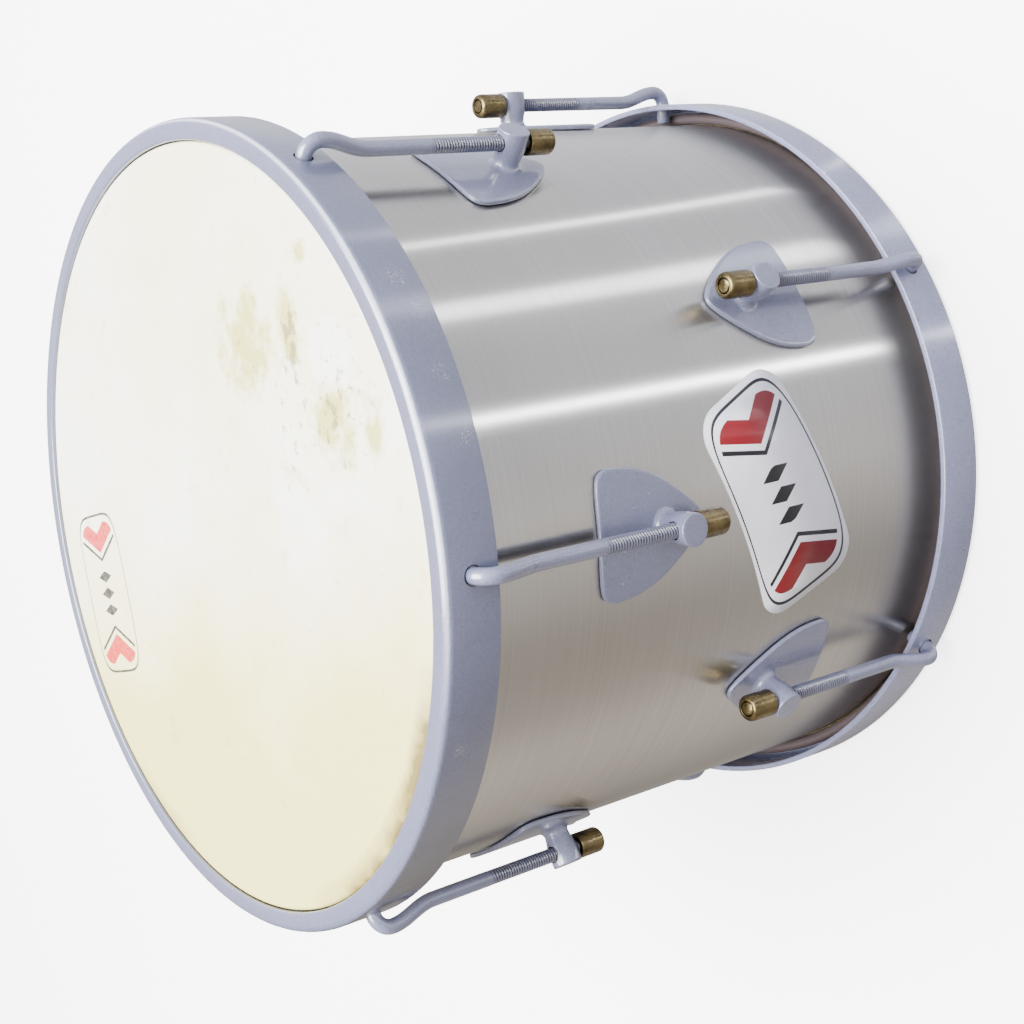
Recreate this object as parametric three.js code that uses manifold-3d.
// Repinique: a two-headed samba drum standing upright on its lower rim, batter head up.
// Millimetres, +Z up, origin at the centre of the lower rim.
import * as THREE from "three";
import { mergeVertices } from "three/addons/utils/BufferGeometryUtils.js";
import Module from "manifold-3d";

const manifold = await Module();
manifold.setup();

// Drum
const drumHeight = 275;
const shellOuterRadius = 152.4;
const shellWall = 1.2;

// Clearances
const meshGap = 0.3;
const flangeGap = 0.4;
const bandGap = 1.8;
const rodHoleGap = 0.4;
const hookHoleGap = 0.7;
const screwHoleGap = 0.4;
const cutOverrun = 5;

// Drum skin and its ring
const skinThickness = 0.7;
const skinBelowRim = 1.2;
const skinCornerRadius = 1.6;
const skinLipRise = 0.8;
const ringWireRadius = 1.6;

// Hoops
const hoopBandHeight = 22.3;
const hoopStock = 2.5;
const hoopCornerRadius = 3;
const hoopEdgeChamfer = 0.6;
const hookHoleFromRim = 11.7;

// Rolled bearing edges of the shell
const bearingEdgeWidth = 7;
const bearingCornerRadius = 1.6;

// Hooked rods
const rodRadius = 3;
const rodAboveShell = 11.8;
const rodEndInNut = 0.6;
const rodEndChamfer = 0.5;
const crestAboveHoop = 6.5;
const hookBendRadius = 6;
const gooseneckPastBand = 16;
const hookTipFromShell = 1.4;
const hookTipChamfer = 0.8;

// Lugs
const lugFromRim = 104;
const plateThickness = 2;
const plateHalfWidth = 24;
const plateTowardHoop = 31;
const plateAwayFromHoop = 19;
const postTopAboveRod = 5.6;
const postRadius = 6.2;
const postNeckRadius = 5.1;
const postFootRadius = 7;
const postFootHeight = 1.4;
const postNeckHeight = 3.6;
const postTopChamfer = 0.5;

// Nuts
const nutRadius = 5.25;
const nutLength = 12.4;
const nutChamfer = 1.4;

// Lug screws
const screwRadius = 2.8;
const screwHeadRadius = 6;
const screwHeadHeight = 3;
const screwHeadRound = 1.2;
const screwEngagement = 6.3;
const screwHoleEndGap = 0.5;

// Counts and angles
const rodsPerHead = 6;
const ringSegments = 48;
const postSegments = 12;
const holeSegments = 8;
const nutSegments = 12;
const rodSides = 8;
const wireSides = 6;
const cornerSteps = 2;
const cradleSteps = 3;
const gooseneckSteps = 4;
const hookBendSteps = 3;
const fullTurn = Math.PI * 2;
const halfTurn = Math.PI;
const quarterTurn = Math.PI / 2;
const rodSpacing = fullTurn / rodsPerHead;
const firstRodAngle = -quarterTurn;
const headStagger = rodSpacing / 2;

// Outline of one half of a lug plate, from the middle of its broad edge to its tip:
// share of the half width, share of the length
const plateHalfShares = [
  [0, 0], [0.6, 0.004], [0.88, 0.03], [0.98, 0.09], [1, 0.17],
  [0.95, 0.36], [0.8, 0.56], [0.52, 0.77], [0.22, 0.94], [0, 1],
];

// Colours
const lilacPaint = { color: 0xaeb1c6, roughness: 0.42, metalness: 0.1 };
const brushedAluminium = { color: 0xb7b6ae, roughness: 0.38, metalness: 0.9 };
const rawHide = { color: 0xe9e4cf, roughness: 0.7, metalness: 0 };
const brass = { color: 0xa58a4f, roughness: 0.4, metalness: 0.85 };
const zincSteel = { color: 0x9a9ca0, roughness: 0.4, metalness: 0.85 };

// Levels and radii that follow from the sizes above
const skinTop = drumHeight - skinBelowRim;
const skinUnder = skinTop - skinThickness;
const shellTop = skinUnder - meshGap;
const shellBottom = drumHeight - shellTop;
const shellInnerRadius = shellOuterRadius - shellWall;
const skinInnerRadius = shellOuterRadius + meshGap;
const skinOuterRadius = skinInnerRadius + skinThickness;
const flangeInnerRadius = skinOuterRadius + flangeGap;
const flangeUnder = drumHeight - hoopStock;
const ringCradleRadius = ringWireRadius + meshGap;
const ringCircleRadius = skinOuterRadius + ringCradleRadius;
const lapRadius = ringCradleRadius + skinThickness;
const bandInnerRadius = ringCircleRadius + lapRadius + bandGap;
const hoopOuterRadius = bandInnerRadius + hoopStock;
const ringLevel = flangeUnder - meshGap - ringWireRadius;
const hookLevel = drumHeight - hookHoleFromRim;
const lugLevel = drumHeight - lugFromRim;
const plateInnerRadius = shellOuterRadius + meshGap;
const plateOuterRadius = plateInnerRadius + plateThickness;
const rodCircleRadius = shellOuterRadius + rodAboveShell;
const crestRadius = hoopOuterRadius + crestAboveHoop;
const postTop = rodCircleRadius + postTopAboveRod;
const postBottom = plateInnerRadius + plateThickness / 2;
const rodHoleRadius = rodRadius + rodHoleGap;
const hookHoleRadius = rodRadius + hookHoleGap;
const nutBoreRadius = rodRadius + meshGap;
const nutTopLevel = lugLevel - postRadius - meshGap;
const nutEndLevel = nutTopLevel - nutLength;
const rodEndLevel = nutEndLevel + rodEndInNut;
const facetFall = Math.tan(halfTurn / ringSegments);
const screwSeatRadius = shellInnerRadius - screwHeadRadius * facetFall - meshGap;
const screwTipRadius = shellOuterRadius + screwEngagement;
const screwHoleRadius = screwRadius + screwHoleGap;

// Points on an arc, from one angle to another
function arc(centreR, centreZ, radius, from, to, steps) {
  const points = [];
  for (let i = 0; i <= steps; i++) {
    const angle = from + ((to - from) * i) / steps;
    points.push([centreR + radius * Math.cos(angle), centreZ + radius * Math.sin(angle)]);
  }
  return points;
}

// A solid from any closed geometry, without the flat triangles of a pole
function solidOf(geometry) {
  const bare = new THREE.BufferGeometry();
  bare.setAttribute("position", geometry.getAttribute("position"));
  bare.setIndex(geometry.getIndex());
  const merged = mergeVertices(bare);
  const index = merged.getIndex().array;
  const kept = [];
  for (let i = 0; i < index.length; i += 3) {
    const [a, b, c] = [index[i], index[i + 1], index[i + 2]];
    if (a !== b && b !== c && c !== a) kept.push(a, b, c);
  }
  return new manifold.Manifold(
    new manifold.Mesh({
      numProp: 3,
      vertProperties: merged.getAttribute("position").array,
      triVerts: new Uint32Array(kept),
    }),
  );
}

function geometryOf(solid) {
  const mesh = solid.getMesh();
  const positions = new Float32Array(mesh.numVert * 3);
  for (let i = 0; i < mesh.numVert; i++) {
    positions.set(mesh.vertProperties.subarray(i * mesh.numProp, i * mesh.numProp + 3), i * 3);
  }
  const geometry = new THREE.BufferGeometry();
  geometry.setAttribute("position", new THREE.BufferAttribute(positions, 3));
  geometry.setIndex(new THREE.BufferAttribute(mesh.triVerts, 1));
  geometry.computeVertexNormals();
  return geometry;
}

// A profile of radius and height turned about Z
function turned(profile, segments) {
  const points = profile.map(([r, z]) => new THREE.Vector2(r, z));
  return new THREE.LatheGeometry(points, segments).rotateX(quarterTurn);
}

// A closed profile turned about Z: the last point joins the first
function turnedRing(profile, segments) {
  return turned([...profile, profile[0]], segments);
}

// A pin along Z between two levels
function pin(radius, from, to, segments) {
  return turned([[0, from], [radius, from], [radius, to], [0, to]], segments);
}

// Turns a piece built along Z so that it points outward along X
function pointOutward(geometry) {
  return geometry.rotateY(quarterTurn);
}

// A hole that runs outward along X at a level
function radialPin(radius, from, to, level) {
  return pointOutward(pin(radius, from, to, holeSegments)).translate(0, 0, level);
}

// Angle of a rod of the batter head
function rodAngle(number) {
  return firstRodAngle + number * rodSpacing;
}

// Puts a piece of the batter side at an angle, or a copy of it on the resonant side
const batterSide = new THREE.Matrix4();
const resonantSide = new THREE.Matrix4()
  .makeTranslation(0, 0, drumHeight)
  .multiply(new THREE.Matrix4().makeRotationZ(headStagger))
  .multiply(new THREE.Matrix4().makeRotationX(halfTurn));

function placed(geometry, angle, side) {
  const matrix = side.clone().multiply(new THREE.Matrix4().makeRotationZ(angle));
  return geometry.clone().applyMatrix4(matrix);
}

// Shell: a tube with both bearing edges rolled inward, drilled for the lug screws
function shellSolid() {
  const cornerRadius = shellOuterRadius - bearingCornerRadius;
  const edgeRadius = shellOuterRadius - bearingEdgeWidth;
  const topCorner = arc(
    cornerRadius, shellTop - bearingCornerRadius, bearingCornerRadius, 0, quarterTurn, cornerSteps,
  );
  const upper = [
    ...topCorner,
    [edgeRadius, shellTop],
    [edgeRadius, shellTop - shellWall],
    [shellInnerRadius, shellTop - shellWall],
  ];
  const lower = upper.map(([r, z]) => [r, drumHeight - z]).reverse();
  let solid = solidOf(turnedRing([...upper, ...lower], ringSegments));
  for (const side of [batterSide, resonantSide]) {
    for (let number = 0; number < rodsPerHead; number++) {
      const hole = radialPin(
        screwHoleRadius, shellInnerRadius - cutOverrun, shellOuterRadius + cutOverrun, lugLevel,
      );
      solid = solid.subtract(solidOf(placed(hole, rodAngle(number), side)));
    }
  }
  return solid;
}

// Hoop: a flat band with an inward lip, drilled for the hooks
function hoopSolid() {
  const profile = [
    [hoopOuterRadius, drumHeight - hoopBandHeight],
    ...arc(
      hoopOuterRadius - hoopCornerRadius, drumHeight - hoopCornerRadius, hoopCornerRadius,
      0, quarterTurn, cornerSteps,
    ),
    [flangeInnerRadius + hoopEdgeChamfer, drumHeight],
    [flangeInnerRadius, drumHeight - hoopEdgeChamfer],
    [flangeInnerRadius, flangeUnder],
    [bandInnerRadius, flangeUnder],
    [bandInnerRadius, drumHeight - hoopBandHeight],
  ];
  let solid = solidOf(turnedRing(profile, ringSegments));
  for (let number = 0; number < rodsPerHead; number++) {
    const hole = radialPin(
      hookHoleRadius, bandInnerRadius - cutOverrun, hoopOuterRadius + cutOverrun, hookLevel,
    );
    solid = solid.subtract(solidOf(placed(hole, rodAngle(number), batterSide)));
  }
  return solid;
}

// Skin: a disc drawn over the bearing edge, down the shell and round the under side of its ring
function skinSolid() {
  const innerCorner = skinCornerRadius - skinThickness;
  const lipTop = ringLevel + skinLipRise;
  const profile = [
    [0, skinUnder],
    ...arc(
      skinInnerRadius - innerCorner, skinUnder - innerCorner, innerCorner,
      quarterTurn, 0, cornerSteps,
    ),
    ...arc(ringCircleRadius, ringLevel, lapRadius, -halfTurn, 0, cradleSteps),
    [ringCircleRadius + lapRadius, lipTop],
    [ringCircleRadius + ringCradleRadius, lipTop],
    ...arc(ringCircleRadius, ringLevel, ringCradleRadius, 0, -halfTurn, cradleSteps),
    ...arc(
      skinOuterRadius - skinCornerRadius, skinTop - skinCornerRadius, skinCornerRadius,
      0, quarterTurn, cornerSteps,
    ),
    [0, skinTop],
  ];
  return solidOf(turned(profile, ringSegments));
}

// Ring of wire that the skin is lapped on
function ringSolid() {
  const section = arc(ringCircleRadius, ringLevel, ringWireRadius, 0, fullTurn, wireSides);
  section.pop();
  return solidOf(turnedRing(section, ringSegments));
}

// Outline of a lug plate: across the shell, and along it from the post
function plateShape() {
  const length = plateTowardHoop + plateAwayFromHoop;
  const half = plateHalfShares.map(([widthShare, lengthShare]) => [
    widthShare * plateHalfWidth,
    plateTowardHoop - lengthShare * length,
  ]);
  const other = half.slice(1, -1).map(([across, along]) => [-across, along]);
  const outline = [...half, ...other.reverse()];
  return new THREE.Shape(outline.map(([across, along]) => new THREE.Vector2(across, along)));
}

// Lug: a plate curved to the shell with a post that the rod passes through
function lugSolid() {
  const plateWrap = solidOf(
    turnedRing(
      [
        [plateInnerRadius, 0],
        [plateOuterRadius, 0],
        [plateOuterRadius, drumHeight],
        [plateInnerRadius, drumHeight],
      ],
      ringSegments,
    ),
  );
  // The outline is drawn in Y and Z and runs outward along X
  const prismLength = plateThickness + cutOverrun + cutOverrun;
  const prism = new THREE.ExtrudeGeometry(plateShape(), { depth: prismLength, bevelEnabled: false })
    .rotateZ(quarterTurn)
    .rotateY(quarterTurn)
    .translate(plateInnerRadius - cutOverrun, 0, lugLevel);
  const plate = plateWrap.intersect(solidOf(prism));
  const footTop = plateOuterRadius + postFootHeight;
  const neckTop = footTop + postNeckHeight;
  const postProfile = [
    [0, postBottom],
    [postFootRadius, postBottom],
    [postFootRadius, plateOuterRadius],
    [postNeckRadius, footTop],
    [postRadius, neckTop],
    [postRadius, postTop - postTopChamfer],
    [postRadius - postTopChamfer, postTop],
    [0, postTop],
  ];
  const post = solidOf(
    pointOutward(turned(postProfile, postSegments)).translate(0, 0, lugLevel),
  );
  const holeReach = postRadius + cutOverrun;
  const crossHole = solidOf(
    pin(rodHoleRadius, lugLevel - holeReach, lugLevel + holeReach, holeSegments)
      .translate(rodCircleRadius, 0, 0),
  );
  const screwHole = solidOf(
    radialPin(
      screwHoleRadius, shellInnerRadius - cutOverrun, screwTipRadius + screwHoleEndGap, lugLevel,
    ),
  );
  return plate.add(post).subtract(crossHole).subtract(screwHole);
}

// Centre line of a rod in radius and height, with the direction at each point
function rodLine() {
  const bendCentreRadius = crestRadius - hookBendRadius;
  const crestLevel = hookLevel - hookBendRadius;
  const bandEdge = drumHeight - hoopBandHeight;
  const gooseneckLength = crestLevel - bandEdge + gooseneckPastBand;
  const gooseneckStart = crestLevel - gooseneckLength;
  const tipRadius = shellOuterRadius + hookTipFromShell;
  const stations = [
    { r: rodCircleRadius, z: rodEndLevel, along: 0, width: rodRadius - rodEndChamfer },
    { r: rodCircleRadius, z: rodEndLevel + rodEndChamfer, along: 0, width: rodRadius },
  ];
  // The gooseneck leaves the rod and meets the crest without a kink
  const rise = crestRadius - rodCircleRadius;
  for (let i = 0; i <= gooseneckSteps; i++) {
    const turnAngle = (halfTurn * i) / gooseneckSteps;
    const height = (rise * (1 - Math.cos(turnAngle))) / 2;
    const slope = (rise * halfTurn * Math.sin(turnAngle)) / (2 * gooseneckLength);
    stations.push({
      r: rodCircleRadius + height,
      z: gooseneckStart + (gooseneckLength * i) / gooseneckSteps,
      along: -Math.atan(slope),
      width: rodRadius,
    });
  }
  for (let i = 1; i <= hookBendSteps; i++) {
    const angle = (quarterTurn * i) / hookBendSteps;
    stations.push({
      r: bendCentreRadius + hookBendRadius * Math.cos(angle),
      z: crestLevel + hookBendRadius * Math.sin(angle),
      along: angle,
      width: rodRadius,
    });
  }
  stations.push({ r: tipRadius + hookTipChamfer, z: hookLevel, along: quarterTurn, width: rodRadius });
  stations.push({ r: tipRadius, z: hookLevel, along: quarterTurn, width: rodRadius - hookTipChamfer });
  return stations;
}

// Rod: round bar swept along its line, with flat ends
function rodSolid() {
  const stations = rodLine();
  const positions = [];
  for (const { r, z, along, width } of stations) {
    for (let i = 0; i < rodSides; i++) {
      const angle = (fullTurn * (i + 0.5)) / rodSides;
      const outward = width * Math.cos(angle);
      positions.push(
        r + outward * Math.cos(along),
        width * Math.sin(angle),
        z + outward * Math.sin(along),
      );
    }
  }
  const startCentre = stations.length * rodSides;
  const endCentre = startCentre + 1;
  const first = stations[0];
  const last = stations[stations.length - 1];
  positions.push(first.r, 0, first.z, last.r, 0, last.z);
  const index = [];
  for (let s = 0; s + 1 < stations.length; s++) {
    for (let i = 0; i < rodSides; i++) {
      const next = (i + 1) % rodSides;
      const a = s * rodSides + i;
      const b = s * rodSides + next;
      index.push(a, b, b + rodSides, a, b + rodSides, a + rodSides);
    }
  }
  const lastRow = (stations.length - 1) * rodSides;
  for (let i = 0; i < rodSides; i++) {
    const next = (i + 1) % rodSides;
    index.push(startCentre, next, i, endCentre, lastRow + i, lastRow + next);
  }
  const geometry = new THREE.BufferGeometry();
  geometry.setAttribute("position", new THREE.BufferAttribute(new Float32Array(positions), 3));
  geometry.setIndex(index);
  return solidOf(geometry);
}

// Nut: a bored barrel that bears on the post from the side away from the hoop
function nutSolid() {
  const profile = [
    [nutRadius - nutChamfer, nutEndLevel],
    [nutRadius, nutEndLevel + nutChamfer],
    [nutRadius, nutTopLevel],
    [nutBoreRadius, nutTopLevel],
    [nutBoreRadius, nutEndLevel],
  ];
  return solidOf(turnedRing(profile, nutSegments).translate(rodCircleRadius, 0, 0));
}

// Screw that holds a lug from inside the shell
function screwSolid() {
  const headInner = screwSeatRadius - screwHeadHeight;
  const profile = [
    [0, headInner],
    [screwHeadRadius - screwHeadRound, headInner],
    [screwHeadRadius, headInner + screwHeadRound],
    [screwHeadRadius, screwSeatRadius],
    [screwRadius, screwSeatRadius],
    [screwRadius, screwTipRadius],
    [0, screwTipRadius],
  ];
  return solidOf(pointOutward(turned(profile, holeSegments)).translate(0, 0, lugLevel));
}

const group = new THREE.Group();
group.name = "repinique";

function addMesh(name, geometry, finish) {
  const material = new THREE.MeshStandardMaterial({ ...finish, flatShading: true });
  const mesh = new THREE.Mesh(geometry, material);
  mesh.name = name;
  group.add(mesh);
}

addMesh("shell", geometryOf(shellSolid()), brushedAluminium);

const headPieces = {
  hoop: geometryOf(hoopSolid()),
  skin: geometryOf(skinSolid()),
  ring: geometryOf(ringSolid()),
};
const rodPieces = {
  lug: geometryOf(lugSolid()),
  rod: geometryOf(rodSolid()),
  nut: geometryOf(nutSolid()),
  screw: geometryOf(screwSolid()),
};

for (const [head, side] of [["batter", batterSide], ["resonant", resonantSide]]) {
  addMesh(head + "_hoop", placed(headPieces.hoop, 0, side), lilacPaint);
  addMesh(head + "_skin", placed(headPieces.skin, 0, side), rawHide);
  addMesh(head + "_flesh_hoop", placed(headPieces.ring, 0, side), zincSteel);
  for (let number = 0; number < rodsPerHead; number++) {
    const angle = rodAngle(number);
    const label = String(number + 1);
    addMesh(head + "_lug_" + label, placed(rodPieces.lug, angle, side), lilacPaint);
    addMesh(head + "_rod_" + label, placed(rodPieces.rod, angle, side), lilacPaint);
    addMesh(head + "_nut_" + label, placed(rodPieces.nut, angle, side), brass);
    addMesh(head + "_lug_screw_" + label, placed(rodPieces.screw, angle, side), zincSteel);
  }
}

export default group;
